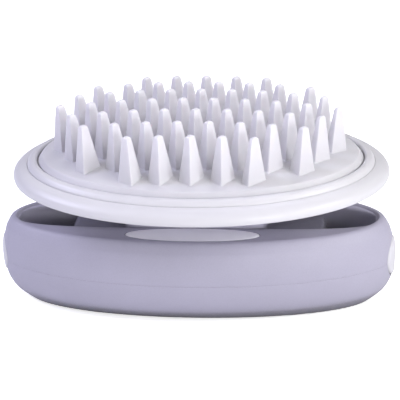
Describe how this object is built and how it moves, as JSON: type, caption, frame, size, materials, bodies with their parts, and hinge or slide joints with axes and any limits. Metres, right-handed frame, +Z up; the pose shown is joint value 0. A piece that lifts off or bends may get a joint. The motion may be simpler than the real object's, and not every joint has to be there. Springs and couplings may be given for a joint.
{
  "type": "scalp massager brush",
  "caption": "Palm-size vibrating scalp massager: an oval head of flexible silicone bristles on a bowl-shaped handle with finger pockets and an end push button.",
  "frame": {"origin": "centre of the flat resting face, at the bottom of the bounding box", "axes": "+X along the long axis towards the push button, +Z up through the bristles, -Y the long side seen from the front"},
  "size_m": [0.0974, 0.0642, 0.0524],
  "materials": {
    "white_silicone": "white silicone rubber, satin",
    "white_plastic": "white moulded plastic, semi-gloss",
    "soft_touch": "lavender-grey soft-touch plastic, satin",
    "inlay": "white moulded plastic, semi-gloss",
    "button_white": "white moulded plastic, fine satin",
    "seal": "grey silicone rubber, matt",
    "circuit_board": "green solder mask on glass-fibre board",
    "black_plastic": "black moulded plastic",
    "inner_plastic": "natural moulded plastic, unpolished",
    "cell_sleeve": "plain shrink sleeve over a steel can",
    "steel": "bright nickel-plated steel",
    "contact_brass": "stamped brass strip",
    "weight_metal": "sintered metal, matt",
    "red_wire": "red wire insulation",
    "dark_wire": "black wire insulation"
  },
  "bodies": {
    "handle": {"handle_top": "soft_touch", "handle_base": "soft_touch", "handle_seal": "seal", "shelf_inlay": "inlay", "end_inlay": "button_white", "handle_screw_1": "steel", "handle_screw_2": "steel", "handle_screw_3": "steel", "handle_screw_4": "steel", "button_membrane": "seal", "tact_switch": "black_plastic", "circuit_board": "circuit_board", "battery_tray": "inner_plastic", "battery_1": "cell_sleeve", "battery_2": "cell_sleeve", "contact_spring_1": "steel", "contact_spring_2": "steel", "contact_plate_bridge": "contact_brass", "contact_plate_positive": "contact_brass", "contact_plate_negative": "contact_brass", "motor_can": "steel", "motor_sleeve": "seal", "motor_cradle": "inner_plastic", "motor_lead_1": "red_wire", "motor_lead_2": "dark_wire", "battery_lead_1": "red_wire", "battery_lead_2": "dark_wire", "head_shell": "white_plastic", "bezel_ring": "white_plastic", "pad_carrier": "white_plastic", "bristle_pad": "white_silicone", "neck_gasket": "seal", "neck_plate": "steel", "neck_screw_1": "steel", "neck_screw_2": "steel", "carrier_screw_1": "steel", "carrier_screw_2": "steel", "carrier_screw_3": "steel", "carrier_screw_4": "steel"},
    "button": {"power_button": "button_white"},
    "cover": {"battery_cover": "soft_touch", "battery_cover_seal": "seal", "battery_cover_screw_1": "steel", "battery_cover_screw_2": "steel"},
    "rotor": {"motor_shaft": "steel", "eccentric_weight": "weight_metal"}
  },
  "joints": [
    {"name": "button_press", "type": "slide", "parent": "handle", "child": "button", "axis": [-1, 0, 0], "range_m": [0, 0.0008]},
    {"name": "cover_lift_off", "type": "slide", "parent": "handle", "child": "cover", "axis": [0, 0, -1], "range_m": [0, 0.012]},
    {"name": "motor_spin", "type": "hinge", "parent": "handle", "child": "rotor", "pos_m": [0.0064, 0, 0.0254], "axis": [1, 0, 0], "continuous": true}
  ]
}
